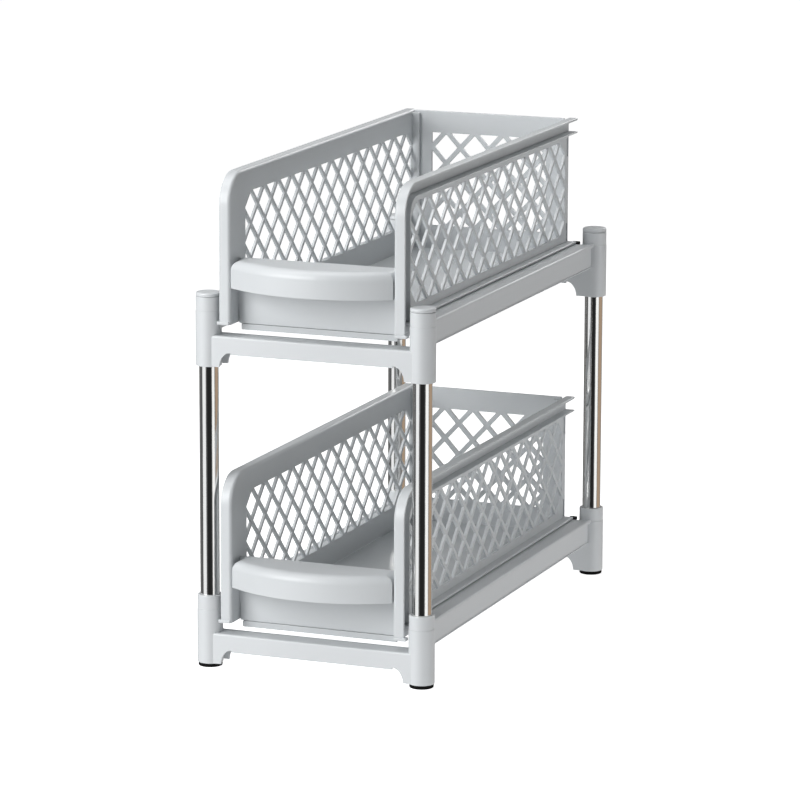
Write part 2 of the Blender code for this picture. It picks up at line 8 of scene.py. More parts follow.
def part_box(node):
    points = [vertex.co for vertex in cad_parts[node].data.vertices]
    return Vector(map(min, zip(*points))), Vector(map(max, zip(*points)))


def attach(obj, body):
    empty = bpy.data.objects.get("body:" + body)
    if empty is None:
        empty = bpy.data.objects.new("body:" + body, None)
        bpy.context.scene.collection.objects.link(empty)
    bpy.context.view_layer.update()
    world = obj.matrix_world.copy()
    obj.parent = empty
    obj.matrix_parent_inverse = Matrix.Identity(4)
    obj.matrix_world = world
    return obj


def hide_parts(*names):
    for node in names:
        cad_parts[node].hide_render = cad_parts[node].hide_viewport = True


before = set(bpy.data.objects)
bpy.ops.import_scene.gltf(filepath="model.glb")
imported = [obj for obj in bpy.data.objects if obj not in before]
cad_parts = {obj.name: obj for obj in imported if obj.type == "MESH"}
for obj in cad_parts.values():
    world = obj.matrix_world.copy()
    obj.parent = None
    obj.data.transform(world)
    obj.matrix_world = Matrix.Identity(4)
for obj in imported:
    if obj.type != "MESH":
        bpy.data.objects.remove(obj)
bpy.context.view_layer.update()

# Feet. Discs of soft black rubber, each moulded with a plug that is pressed up into a lower sleeve.
# The rack stands on their flat undersides, which have a shallow grip ring.
corners = ("front_left", "front_right", "back_left", "back_right")
foot_radius = 0.0093
foot_thickness = 0.0027
foot_edge = 0.0008
foot_plug_radius = 0.0075
foot_plug_top = 0.0147
grip_ring = [(0.0066, 0), (0.0064, 0.0003), (0.0054, 0.0003), (0.0052, 0)]
rubber_and_shade_black = (0.007, 0.007, 0.007, 1)
fine_rounds = 72


def post_axis(corner):
    """Where the axis of that corner's post stands."""
    low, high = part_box("post_" + corner)
    return Vector(((low.x + high.x) / 2, (low.y + high.y) / 2, 0))


def arc(center, radius, start, end, steps=8):
    """Points on an arc, its angles in degrees."""
    angles = [math.radians(start + (end - start) * step / steps) for step in range(steps + 1)]
    return [(center[0] + radius * math.cos(a), center[1] + radius * math.sin(a)) for a in angles]


def turned(profile, place, rounds=fine_rounds):
    """A round shape from (radius, height) points that end on the axis or close round a bore."""
    shape = bmesh.new()
    rings = []
    for radius, height in profile:
        count = rounds if radius > 0 else 1
        ring = []
        for number in range(count):
            turn = 2 * math.pi * number / count
            ring.append(shape.verts.new((radius * math.cos(turn), radius * math.sin(turn), height)))
        rings.append(ring)
    pairs = list(zip(rings, rings[1:]))
    if profile[0][0] > 0:
        pairs.append((rings[-1], rings[0]))
    for one, two in pairs:
        for number in range(rounds):
            following = (number + 1) % rounds
            corners_of_face = [one[number % len(one)], one[following % len(one)],
                               two[following % len(two)], two[number % len(two)]]
            kept = list(dict.fromkeys(corners_of_face))
            shape.faces.new(kept)
    bmesh.ops.recalc_face_normals(shape, faces=shape.faces)
    bmesh.ops.translate(shape, verts=shape.verts, vec=place)
    return shape


def shade(mesh, smooth_below=35):
    """Shade the mesh smooth, except where its faces meet at a hard edge."""
    mesh.polygons.foreach_set("use_smooth", [True] * len(mesh.polygons))
    mesh.set_sharp_from_angle(angle=math.radians(smooth_below))


def new_piece(name, shapes):
    """One object from loose shapes, its soft edges shaded smooth and its hard ones sharp."""
    mesh = bpy.data.meshes.new(name)
    whole = bmesh.new()
    for shape in shapes:
        part = bpy.data.meshes.new(name)
        shape.to_mesh(part)
        shape.free()
        whole.from_mesh(part)
        bpy.data.meshes.remove(part)
    whole.to_mesh(mesh)
    whole.free()
    shade(mesh)
    item = bpy.data.objects.new(name, mesh)
    bpy.context.scene.collection.objects.link(item)
    return item


def plain(item):
    """Turn the object and its modifiers into a plain mesh."""
    bpy.context.view_layer.update()
    graph = bpy.context.evaluated_depsgraph_get()
    source = item.data
    item.data = bpy.data.meshes.new_from_object(item.evaluated_get(graph))
    item.modifiers.clear()
    bpy.data.meshes.remove(source)
    return item


def fit(item, body, nodes, material):
    """Even out the shading, give the piece its material, tie it to its body and hide its nodes."""
    shade(item.data)
    even = item.modifiers.new("Even shading", "WEIGHTED_NORMAL")
    even.keep_sharp = True
    plain(item)
    item.data.materials.clear()
    item.data.materials.append(material)
    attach(item, body)
    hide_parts(*nodes)


class Wire:
    """An output socket of a node tree. Sums and products on it become Math nodes."""

    def __init__(self, tree, socket):
        self.tree = tree
        self.socket = socket

    def node(self, kind, settings=None, inputs=None, output=0):
        """Add a node of that kind: its settings first, then its sockets' values or wires."""
        made = self.tree.nodes.new(kind)
        for name, value in (settings or {}).items():
            setattr(made, name, value)
        for key, value in (inputs or {}).items():
            if isinstance(value, Wire):
                self.tree.links.new(value.socket, made.inputs[key])
            else:
                made.inputs[key].default_value = value
        return Wire(self.tree, made.outputs[output])

    def math(self, operation, *values):
        """Add a Math node of that operation."""
        return self.node("ShaderNodeMath", {"operation": operation}, dict(enumerate(values)))

    def __add__(self, other):
        return self.math("ADD", self, other)

    def __mul__(self, other):
        return self.math("MULTIPLY", self, other)

    __radd__ = __add__
    __rmul__ = __mul__


def new_material(name):
    """A material with its shader, and the wire that carries the place on the piece."""
    material = bpy.data.materials.new(name)
    material.use_nodes = True
    tree = material.node_tree
    shader = tree.nodes["Principled BSDF"]
    place = tree.nodes.new("ShaderNodeTexCoord").outputs["Object"]
    return material, shader, Wire(tree, place)


def connect(shader, **wires):
    """Join wires to the shader's sockets."""
    for name, wire in wires.items():
        wire.tree.links.new(wire.socket, shader.inputs[name.replace("_", " ").title()])


def noise(place, scale, detail):
    """A cloudy pattern that goes through the whole piece."""
    return place.node("ShaderNodeTexNoise", inputs={
        "Vector": place, "Scale": scale, "Detail": detail})


def relief(shader, height, strength, distance):
    """Give the surface a fine relief."""
    bump = height.node("ShaderNodeBump", inputs={
        "Height": height, "Strength": strength, "Distance": distance})
    connect(shader, normal=bump)


def rubber():
    """Matte black rubber with a fine bloom. On the rear stops its black also paints shade."""
    material, shader, place = new_material("black_rubber")
    bloom = noise(place, scale=140.0, detail=3.0)
    grain = noise(place, scale=900.0, detail=4.0)
    shader.inputs["Base Color"].default_value = rubber_and_shade_black
    shader.inputs["Specular IOR Level"].default_value = 0.12
    connect(shader, roughness=0.62 + bloom * 0.2)
    relief(shader, grain, strength=0.25, distance=0.0003)
    return material


black_rubber = rubber()
for corner in corners:
    profile = [(0, foot_plug_top), (foot_plug_radius - foot_edge, foot_plug_top)]
    profile += [(foot_plug_radius, foot_plug_top - foot_edge), (foot_plug_radius, foot_thickness)]
    top_edge = foot_edge / 2
    profile += arc((foot_radius - top_edge, foot_thickness - top_edge), top_edge, 90, 0)
    profile += arc((foot_radius - foot_edge, foot_edge), foot_edge, 0, -90)
    profile += grip_ring + [(0, 0)]
    foot = new_piece("foot_disc_" + corner, [turned(profile, post_axis(corner))])
    fit(foot, "frame", ["foot_" + corner], black_rubber)

# End frames. Each is one moulding of light grey plastic: two sleeves and an arched cross rail, open
# below, that meets them in quarter-round gussets. A step in each sleeve shows where the mould
# parted.
frame_grey = (0.638, 0.660, 0.676, 1)
drawer_grey = (0.612, 0.636, 0.652, 1)
mottling = (0.965, 1.025)


def moulded_plastic(name, color, smoothest, grain_strength):
    """Satin moulded plastic: faint mottling, a fine spark-eroded grain and rubbed patches."""
    material, shader, place = new_material(name)
    clouds = noise(place, scale=14.0, detail=4.0)
    rubs = noise(place, scale=55.0, detail=5.0)
    grain = noise(place, scale=1500.0, detail=2.0)
    darker, lighter = [[channel * share for channel in color[:3]] + [1] for share in mottling]
    tint = place.node("ShaderNodeMix", {"data_type": "RGBA"},
                      {"Factor": clouds, 6: darker, 7: lighter}, output=2)
    connect(shader, base_color=tint, roughness=smoothest + rubs * 0.14)
    relief(shader, grain, grain_strength, distance=0.0002)
    return material


frame_plastic = moulded_plastic("frame_plastic", frame_grey, smoothest=0.27, grain_strength=0.12)
drawer_plastic = moulded_plastic("drawer_plastic", drawer_grey, smoothest=0.27, grain_strength=0.12)


def swept(outline, low, high, plane):
    """A closed shape from an outline that is swept between two levels across its plane."""
    order = {"YZ": (2, 0, 1), "XZ": (0, 2, 1), "XY": (0, 1, 2)}[plane]
    shape = bmesh.new()
    rings = []
    for level in (low, high):
        ring = []
        for across, up in outline:
            values = (across, up, level)
            ring.append(shape.verts.new([values[index] for index in order]))
        rings.append(ring)
        shape.faces.new(ring)
    lower, upper = rings
    for number in range(len(outline)):
        following = (number + 1) % len(outline)
        shape.faces.new([lower[number], lower[following], upper[following], upper[number]])
    bmesh.ops.recalc_face_normals(shape, faces=shape.faces)
    return shape


def carved(item, tool, operation="DIFFERENCE"):
    """Cut the tool out of the item, or join it on."""
    step = item.modifiers.new("Cut", "BOOLEAN")
    step.operation = operation
    step.solver = "EXACT"
    step.object = tool
    plain(item)
    bpy.data.objects.remove(tool)
    return item


cut_slack = 0.001


def softened(item, width, segments=3, angle=30):
    """Round every hard edge."""
    bevel = item.modifiers.new("Rounding", "BEVEL")
    bevel.width = width
    bevel.segments = segments
    bevel.limit_method = "ANGLE"
    bevel.angle_limit = math.radians(angle)
    bevel.harden_normals = True
    plain(item)
    return item


def as_shape(item):
    """The mesh of a working object as a loose shape. The object goes."""
    shape = bmesh.new()
    shape.from_mesh(item.data)
    bpy.data.objects.remove(item)
    return shape


post_side = 0.0870
sleeve_radius = 0.0100
sleeve_bore = 0.0078
sleeve_low = 0.0030
sleeve_high = 0.0564
seam = 0.0456
seam_step = 0.0002
seam_groove = 0.00015
seam_groove_height = 0.00025
ring_low = 0.0280
ring_high = 0.0305
ring_bore = 0.0055


def sleeve(place):
    """One sleeve with its rounded rims, the mould's step and the ring that stops the post."""
    neck = sleeve_radius - seam_step
    groove = neck - seam_groove
    top_rim, seam_rim, foot_rim, inner_rim, lead_in = 0.0006, 0.0003, 0.0004, 0.0004, 0.0003
    profile = arc((neck - top_rim, sleeve_high - top_rim), top_rim, 90, 0)
    profile += [(neck, seam + seam_groove_height), (groove, seam + seam_groove), (groove, seam)]
    profile += arc((sleeve_radius - seam_rim, seam - seam_rim), seam_rim, 90, 0, 4)
    profile += arc((sleeve_radius - foot_rim, sleeve_low + foot_rim), foot_rim, 0, -90, 4)
    profile += [(sleeve_bore + lead_in, sleeve_low), (sleeve_bore, sleeve_low + lead_in)]
    profile += [(sleeve_bore, ring_low), (ring_bore, ring_low)]
    profile += [(ring_bore, ring_high), (sleeve_bore, ring_high)]
    profile += arc((sleeve_bore + inner_rim, sleeve_high - inner_rim), inner_rim, 180, 90, 4)
    return turned(profile, place)


def end_frame():
    """The moulding at the front end of the lower tier, its middle at the origin."""
    front, back, low, top, wall, edge = -0.0082, 0.0100, 0.0034, 0.0273, 0.0020, 0.0016
    section = arc((front + edge, top - edge), edge, 180, 90)
    section += arc((back - edge, top - edge), edge, 90, 0)
    section += [(back, low), (back - wall, low), (back - wall, top - wall)]
    section += [(front + wall, top - wall), (front + wall, low), (front, low)]
    rail = new_piece("cross_rail", [swept(section, -post_side, post_side, "YZ")])
    side, reach, rise, foot, under = 0.0660, 0.0090, 0.0118, 0.0030, 0.0133
    turns = [math.radians(turn) for turn in range(0, 91, 5)]
    right = [(side + reach * math.sin(turn), foot + rise * math.cos(turn)) for turn in turns]
    arch = [(side, under)] + right + [(side + reach, 0), (-side - reach, 0)]
    arch += [(-across, up) for across, up in reversed(right)] + [(-side, under)]
    cut_reach = 0.0200
    carved(rail, new_piece("arch", [swept(arch, -cut_reach, cut_reach, "XZ")]))
    core_radius, core_top = 0.0089, 0.0350
    for x in (-post_side, post_side):
        core = [(0, core_top), (core_radius, core_top), (core_radius, 0), (0, 0)]
        carved(rail, new_piece("core", [turned(core, (x, 0, 0))]))
    softened(rail, 0.0004)
    return [as_shape(rail)] + [sleeve((x, 0, 0)) for x in (-post_side, post_side)]


tiers = {"lower": 0.0, "upper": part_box("upper_front_frame")[0].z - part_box("lower_front_frame")[0].z}
front_y = post_axis("front_left").y
back_y = post_axis("back_left").y
for tier, rise in tiers.items():
    for end, y, turn in (("front", front_y, 0), ("back", back_y, math.pi)):
        item = new_piece(tier + "_" + end + "_moulding", end_frame())
        item.data.transform(Matrix.Translation((0, y, rise)) @ Matrix.Rotation(turn, 4, "Z"))
        fit(item, "frame", [tier + "_" + end + "_frame"], frame_plastic)

# Posts. Four lengths of thin steel tube, bright chromed. Each stands on the ring inside a lower
# sleeve and carries the ring of the upper sleeve.
tube_radius = 0.0075
tube_bore = 0.0066
tube_rim = 0.0003
tube_rounds = 96


def chrome():
    """Bright chrome with the faint lengthwise lines of drawn tube."""
    material, shader, place = new_material("chromed_tube")
    shader.inputs["Base Color"].default_value = (0.86, 0.86, 0.85, 1)
    shader.inputs["Metallic"].default_value = 1.0
    stretched = place.node("ShaderNodeMapping", inputs={"Vector": place, "Scale": (1, 1, 0.02)})
    lines = noise(stretched, scale=2200.0, detail=2.0)
    haze = noise(place, scale=60.0, detail=4.0)
    connect(shader, roughness=0.05 + haze * 0.05)
    relief(shader, lines, strength=0.06, distance=0.0001)
    return material


chromed_tube = chrome()
for corner in corners:
    low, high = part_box("post_" + corner)
    profile = arc((tube_radius - tube_rim, high.z - tube_rim), tube_rim, 90, 0, 3)
    profile += arc((tube_radius - tube_rim, low.z + tube_rim), tube_rim, 0, -90, 3)
    profile += [(tube_bore, low.z), (tube_bore, high.z)]
    post = new_piece("tube_" + corner, [turned(profile, post_axis(corner), tube_rounds)])
    fit(post, "frame", ["post_" + corner], chromed_tube)

# Caps. Discs moulded from the frame's plastic, each in one with a plug. The plug is pushed down
# into the top of an upper sleeve and closes it.
cap_radius = 0.0098
cap_thickness = 0.0028
cap_edge = 0.0013
cap_under_edge = 0.0002
cap_plug_radius = 0.0075
for corner in corners:
    low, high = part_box("cap_" + corner)
    seat = high.z - cap_thickness
    profile = [(0, high.z)] + arc((cap_radius - cap_edge, high.z - cap_edge), cap_edge, 90, 0)
    profile += [(cap_radius, seat + cap_under_edge), (cap_radius - cap_under_edge, seat)]
    profile += [(cap_plug_radius, seat), (cap_plug_radius, low.z), (0, low.z)]
    cap = new_piece("cap_disc_" + corner, [turned(profile, post_axis(corner))])
    fit(cap, "frame", ["cap_" + corner], frame_plastic)

# Side rails. One long moulding on each side of a tier: a web, a ledge that the drawer runs on and a
# rolled lip along the outer edge. Its ends are let into the walls of the sleeves.
post_run = 0.3900
rail_front = -0.0015
rail_rear = 0.3811
ledge_rear = 0.3786
ledge_inner = 0.0690
ledge_top = 0.0467
ledge_under = 0.0445
web_inner = 0.0858
web_outer = 0.0876
web_foot = 0.0277
web_bead = 0.0007
lip_inner = 0.0866
lip_outer = 0.0900
lip_top = 0.0476
lip_under = 0.0448
tail_inner = 0.0840
notch_radius = 0.0090
shelf_front = 0.3746
shelf_rear = 0.3860
shelf_outer = 0.0766
shelf_top = 0.0449
shelf_under = 0.0429


def side_rail():
    """The right-hand rail of the lower tier, its places counted from the front posts' axes."""
    inner_turn, outer_turn = 0.0006, 0.0014
    lip = [(lip_inner, ledge_top)]
    lip += arc((lip_inner + inner_turn, lip_top - inner_turn), inner_turn, 180, 90, 4)
    lip += arc((lip_outer - outer_turn, lip_top - outer_turn), outer_turn, 90, 0)
    lip += [(lip_outer, lip_under), (web_outer, lip_under)]
    web = [(web_outer, web_foot + web_bead), (web_outer + web_bead, web_foot + web_bead)]
    web += [(web_outer + web_bead, web_foot), (web_inner, web_foot), (web_inner, ledge_under)]
    section = [(ledge_inner, ledge_top)] + lip + web + [(ledge_inner, ledge_under)]
    rail = new_piece("rail", [swept(section, rail_front, ledge_rear, "XZ")])
    tail = [(tail_inner, ledge_top)] + lip + web + [(tail_inner, ledge_under)]
    carved(rail, new_piece("tail", [swept(tail, ledge_rear - cut_slack, rail_rear, "XZ")]), "UNION")
    over, under = 0.0600, 0.0200
    for y in (0, post_run):
        notch = [(0, over), (notch_radius, over), (notch_radius, under), (0, under)]
        carved(rail, new_piece("notch", [turned(notch, (post_side, y, 0))]))
    shelf = [(ledge_inner, shelf_top), (shelf_outer, shelf_top)]
    shelf += [(shelf_outer, shelf_under), (ledge_inner, shelf_under)]
    carved(rail, new_piece("shelf", [swept(shelf, shelf_front, shelf_rear, "XZ")]), "UNION")
    return softened(rail, 0.00035)


def placed(item, name, rise, side):
    """Move a right-hand piece to its tier, and mirror it for the left-hand side."""
    item.name = name
    item.data.name = name
    item.data.transform(Matrix.Translation((0, front_y, rise)))
    if side == "left":
        item.data.transform(Matrix.Scale(-1, 4, (1, 0, 0)))
        item.data.flip_normals()
    return item


for tier, rise in tiers.items():
    for side in ("right", "left"):
        rail = placed(side_rail(), tier + "_" + side + "_rail_moulding", rise, side)
        fit(rail, "frame", [tier + "_" + side + "_rail"], frame_plastic)

# Rear stops. Small blocks of the feet's rubber behind the ledges, which the runners meet when a
# drawer is shut. Their black also paints the deep shade in the gap between each ledge's end and
# the back sleeve. Each has a stem that is pushed through the rail's shelf.
stop_low = (0.0703, 0.3790, 0.0452)
stop_high = (0.0763, 0.3860, 0.0481)
stop_axis = (0.0733, 0.3825, 0)
stem_profile = [(0, 0.0470), (0.0015, 0.0470), (0.0015, 0.0396), (0.0012, 0.0392), (0, 0.0392)]
stem_rounds = 32


def soft_block(low, high, edge):
    """A block between two corners, its edges rounded."""
    outline = [(low[0], low[2]), (high[0], low[2]), (high[0], high[2]), (low[0], high[2])]
    return softened(new_piece("block", [swept(outline, low[1], high[1], "XZ")]), edge)


for tier, rise in tiers.items():
    for side in ("right", "left"):
        block = soft_block(stop_low, stop_high, 0.0006)
        stop = new_piece("stop", [as_shape(block), turned(stem_profile, stop_axis, stem_rounds)])
        placed(stop, tier + "_" + side + "_stop_block", rise, side)
        # The stops' black is partly the rubber's own colour and partly painted shade of the gap behind
        # the ledge.
        fit(stop, "frame", [tier + "_" + side + "_stop"], black_rubber)

# Drawer sides. Each is one moulding: a lattice of diagonal strips in a plain border, a flange that
# turns outwards along the top and down the front, a thinner one inside it, and the runner below.
wall_inner = 0.0662
wall_outer = 0.0682
flange_edge = 0.0753
wall_middle = (wall_inner + wall_outer) / 2
wall_front = -0.0070
wall_rear = 0.3776
flange_rear = 0.3787
wall_top = 0.1510
wall_bottom = 0.0358
corner_radius = 0.0240
corner_steps = 14
bend = 0.0026
lug_middles = [wall_front + (wall_rear - wall_front) * share for share in (0.16, 0.50, 0.84)]
lug_half = 0.0120
lug_foot = 0.0306
slot_front = 0.3724
slot_rear = 0.3755
slot_height = 0.0150
slot_lows = (0.0495, 0.1198)
side_field_length = (0.02275, 0.3690)
side_pitch = (0.0270, 0.0270)
side_strip = 0.0030


def lattice_tree():
    """Geometry Nodes that cut the diamonds between crossed strips out of a plate laid on XY."""
    tree = bpy.data.node_groups.new("diamond_lattice", "GeometryNodeTree")
    sockets = tree.interface
    for name, kind in (("Plate", "Geometry"), ("Field Middle", "Vector"), ("Field Size", "Vector"),
                       ("Pitch", "Vector"), ("Diamond", "Vector"), ("Shift", "Vector"),
                       ("Columns", "Int"), ("Rows", "Int"), ("Most Cut Off", "Float"),
                       ("Material", "Material")):
        sockets.new_socket(name, in_out="INPUT", socket_type="NodeSocket" + kind)
    sockets.new_socket("Lattice", in_out="OUTPUT", socket_type="NodeSocketGeometry")
    start = tree.nodes.new("NodeGroupInput")
    end = tree.nodes.new("NodeGroupOutput")

    def given(name):
        """The wire of the tree's input of that name."""
        return Wire(tree, start.outputs[name])

    origin = given("Field Middle")
    pitch = given("Pitch").node("ShaderNodeSeparateXYZ", inputs={"Vector": given("Pitch")})
    pitch_y = Wire(tree, pitch.socket.node.outputs["Y"])
    width = pitch * given("Columns")
    height = pitch_y * given("Rows")
    grid = origin.node("GeometryNodeMeshGrid", inputs={
        "Size X": width, "Size Y": height, "Vertices X": given("Columns") + 1,
        "Vertices Y": given("Rows") + 1})
    first = grid.node("GeometryNodeTransform", inputs={
        "Geometry": grid, "Translation": given("Shift")})
    half = pitch.node("ShaderNodeVectorMath", {"operation": "SCALE"},
                      {"Vector": given("Pitch"), "Scale": 0.5})
    second = grid.node("GeometryNodeTransform", inputs={"Geometry": first, "Translation": half})
    centers = grid.node("GeometryNodeJoinGeometry", inputs={"Geometry": first})
    tree.links.new(second.socket, centers.socket.node.inputs["Geometry"])
    spot = grid.node("GeometryNodeInputPosition")

    def vectors(operation, one, two=(0, 0, 0), output=0):
        """Add a Vector Math node of that operation."""
        return spot.node("ShaderNodeVectorMath", {"operation": operation}, {0: one, 1: two}, output)

    border = vectors("MULTIPLY", given("Field Size"), (0.5, 0.5, 0.5))
    beyond = vectors("MAXIMUM", vectors("SUBTRACT", vectors("ABSOLUTE", spot), border))
    cut_off = vectors("DOT_PRODUCT", vectors("DIVIDE", beyond, given("Diamond")), (1, 1, 0), 1)
    kept = spot.math("LESS_THAN", cut_off, given("Most Cut Off"))
    cutter = grid.node("GeometryNodeMeshCylinder", {"fill_type": "NGON"},
                       {"Vertices": 4, "Radius": 1.0, "Depth": 2.0})
    placed_cutters = grid.node("GeometryNodeInstanceOnPoints", inputs={
        "Points": centers, "Selection": kept, "Instance": cutter, "Scale": given("Diamond")})
    cutters = grid.node("GeometryNodeRealizeInstances", inputs={"Geometry": placed_cutters})
    box = grid.node("GeometryNodeMeshCube", inputs={"Size": given("Field Size")})
    clipped = grid.node("GeometryNodeMeshBoolean", {"operation": "INTERSECT", "solver": "EXACT"},
                        {"Mesh 2": cutters})
    tree.links.new(box.socket, clipped.socket.node.inputs["Mesh 2"])
    moved = grid.node("GeometryNodeTransform", inputs={"Geometry": clipped, "Translation": origin})
    cut = grid.node("GeometryNodeMeshBoolean", {"operation": "DIFFERENCE", "solver": "EXACT"},
                    {"Mesh 1": given("Plate"), "Mesh 2": moved})
    flat = grid.node("GeometryNodeRealizeInstances", inputs={"Geometry": cut})
    done = grid.node("GeometryNodeSetMaterial", inputs={
        "Geometry": flat, "Material": given("Material")})
    tree.links.new(done.socket, end.inputs["Lattice"])
    return tree


lattice_nodes = lattice_tree()
lattice_height = (0.0555, 0.1331)
most_cut_off = 0.30
lattice_edge = 0.0004
field_depth = 1.2
diamond_depth = 0.5


def lattice_plate(outline, holes, thickness, field, pitch, strip, node_in_middle, edge):
    """A plate on XY with slots cut through it and a field of lattice, its edges rounded."""
    plate = softened(new_piece("plate", [swept(outline, 0, thickness, "XY")]), edge, 6)
    for hole in holes:
        slot = swept(hole, -cut_slack, thickness + cut_slack, "XY")
        carved(plate, new_piece("slot", [slot]))
    middle = [(low + high) / 2 for low, high in field]
    size = [high - low for low, high in field]
    slant = math.atan2(pitch[1], pitch[0])
    trims = (strip / 2 / math.sin(slant), strip / 2 / math.cos(slant))
    diamond = [step / 2 - trim for step, trim in zip(pitch, trims)]
    columns, rows = [2 * (int(span / step / 2) + 2) for span, step in zip(size, pitch)]
    values = {
        "Field Middle": (middle[0], middle[1], thickness / 2),
        "Field Size": (size[0], size[1], field_depth),
        "Pitch": (pitch[0], pitch[1], 0),
        "Diamond": (diamond[0], diamond[1], diamond_depth),
        "Shift": (pitch[0] / 2 if node_in_middle else 0, 0, 0),
        "Columns": columns, "Rows": rows, "Most Cut Off": most_cut_off, "Material": drawer_plastic}
    cutting = plate.modifiers.new("Lattice", "NODES")
    cutting.node_group = lattice_nodes
    for socket in lattice_nodes.interface.items_tree:
        if socket.item_type == "SOCKET" and socket.in_out == "INPUT" and socket.name in values:
            cutting[socket.identifier] = values[socket.name]
    plain(plate)
    return softened(plate, lattice_edge)


def path_points(front, top, radius, rear, foot, inset):
    """A path along the top edge and down the front edge of a drawer side, set in by some depth."""
    turn = arc((front + radius, top - radius), radius - inset, 90, 180, corner_steps)
    return [(rear, top - inset)] + turn + [(front + inset, foot)]


def flange(root, front, top, radius, foot, thickness, edge):
    """A flange out from its root, one section that follows the top and front edges of a side."""
    section = root + arc((flange_edge - edge, edge), edge, 270, 360, 5)
    section += arc((flange_edge - edge, thickness - edge), edge, 0, 90, 5)
    section += arc((wall_outer + edge, thickness + edge), edge, 270, 180, 5)
    section += [(wall_middle, thickness + edge)]
    shape = bmesh.new()
    columns = []
    for across, depth in section:
        points = path_points(front, top, radius, flange_rear, foot, depth)
        columns.append([shape.verts.new((across, y, z)) for y, z in points])
    count = len(columns[0])
    for one, two in zip(columns, columns[1:] + columns[:1]):
        for number in range(count - 1):
            shape.faces.new([one[number], one[number + 1], two[number + 1], two[number]])
    shape.faces.new([column[0] for column in columns])
    shape.faces.new([column[-1] for column in columns])
    bmesh.ops.recalc_face_normals(shape, faces=shape.faces)
    return shape


def drawer_side():
    """The right-hand side of a drawer, its places counted from the front posts' axes."""
    outline = path_points(wall_front, wall_top, corner_radius, wall_rear, wall_bottom, bend / 2)
    for middle in lug_middles:
        outline += [(middle - lug_half, wall_bottom), (middle - lug_half, lug_foot)]
        outline += [(middle + lug_half, lug_foot), (middle + lug_half, wall_bottom)]
    outline.append((wall_rear, wall_bottom))
    slots = []
    for low in slot_lows:
        high = low + slot_height
        slots.append([(slot_front, low), (slot_rear, low), (slot_rear, high), (slot_front, high)])
    field = (side_field_length, lattice_height)
    plate = lattice_plate(outline, slots, wall_outer - wall_inner, field, side_pitch, side_strip,
                          node_in_middle=False, edge=0.0009)
    plate.data.transform(Matrix(((0, 0, 1, wall_inner), (1, 0, 0, 0), (0, 1, 0, 0), (0, 0, 0, 1))))
    wall_bend = arc((wall_inner + bend, bend), bend, 180, 270, 7)
    shapes = [as_shape(plate),
              flange(wall_bend, wall_front, wall_top, corner_radius,
                     foot=0.0370, thickness=0.0020, edge=0.0008),
              flange([(wall_middle, 0)], front=0.0040, top=0.1400, radius=0.0130,
                     foot=0.0480, thickness=0.0013, edge=0.0005)]
    runner = ((wall_middle, 0.0046, 0.0470), (flange_edge, flange_rear, 0.0490), 0.0009)
    toe = ((wall_middle, -0.0080, 0.0358), (0.0770, -0.0023, 0.0383), 0.0006)
    rear_return = ((0.0600, 0.3694, 0.0359), (wall_middle, slot_front, 0.1490), 0.0004)
    for low, high, edge in (runner, toe, rear_return):
        shapes.append(as_shape(soft_block(low, high, edge)))
    return new_piece("side", shapes)


for tier, rise in tiers.items():
    for side in ("right", "left"):
        panel = placed(drawer_side(), tier + "_drawer_" + side + "_moulding", rise, side)
        nodes = [tier + "_drawer_" + side + "_panel"]
        fit(panel, tier + "_drawer", nodes, drawer_plastic)

# Drawer backs. Each is a flat moulded lattice panel between the two sides. Hooks on its side edges
# snap into the sides' slots.
half_width = 0.0657
hook_reach = 0.0673
panel_foot = 0.0353
back_thickness = 0.0025
back_rear = 0.3752
back_field_width = (-0.0500, 0.0500)
back_pitch = (0.0250, 0.0270)
back_strip = 0.0038
low_hook = (0.0498, 0.0642)
high_hook = (0.1201, 0.1345)
for tier, rise in tiers.items():
    outline = [(-half_width, panel_foot), (half_width, panel_foot)]
    for low, high in (low_hook, high_hook):
        outline += [(half_width, low), (hook_reach, low), (hook_reach, high), (half_width, high)]
    outline += [(half_width, wall_top), (-half_width, wall_top)]
    for low, high in (high_hook, low_hook):
        outline += [(-half_width, high), (-hook_reach, high)]
        outline += [(-hook_reach, low), (-half_width, low)]
    panel = lattice_plate(outline, [], back_thickness, (back_field_width, lattice_height),
                          back_pitch, back_strip, node_in_middle=True, edge=0.0006)
    panel.data.transform(Matrix(((1, 0, 0, 0), (0, 0, -1, back_rear), (0, 1, 0, 0), (0, 0, 0, 1))))
    placed(panel, tier + "_drawer_back_moulding", rise, "right")
    fit(panel, tier + "_drawer", [tier + "_drawer_back_panel"], drawer_plastic)

# Drawer fronts. Each is one moulding: a low wall with a bowed hood over it, open below for the
# fingers, which lift and pull the drawer by its inner face. Its end hooks sit in the sides.
front_wall_front = 0.0090
front_wall_rear = 0.0112
front_hook_inner = 0.0655
hood_top = 0.0855
bow = 0.0200
bow_steps = 44


def bowed_block(half, front, rear, bottom, top, edge):
    """A block with a bowed front, its upper edge rounded except along the straight back."""
    radius = (half * half + bow * bow) / (2 * bow)
    swing = math.degrees(math.asin(half / radius))
    outline = arc((0, front - bow + radius), radius, -90 - swing, -90 + swing, bow_steps)
    outline += [(half, rear), (-half, rear)]
    shape = swept(outline, bottom, top, "XY")
    slack = 0.0010
    rim = []
    for side in shape.edges:
        one, two = [vertex.co for vertex in side.verts]
        if min(one.z, two.z) > top - slack and min(one.y, two.y) < rear - slack:
            rim.append(side)
    bmesh.ops.bevel(shape, geom=rim, offset=edge, segments=10, profile=0.5, affect="EDGES")
    return shape


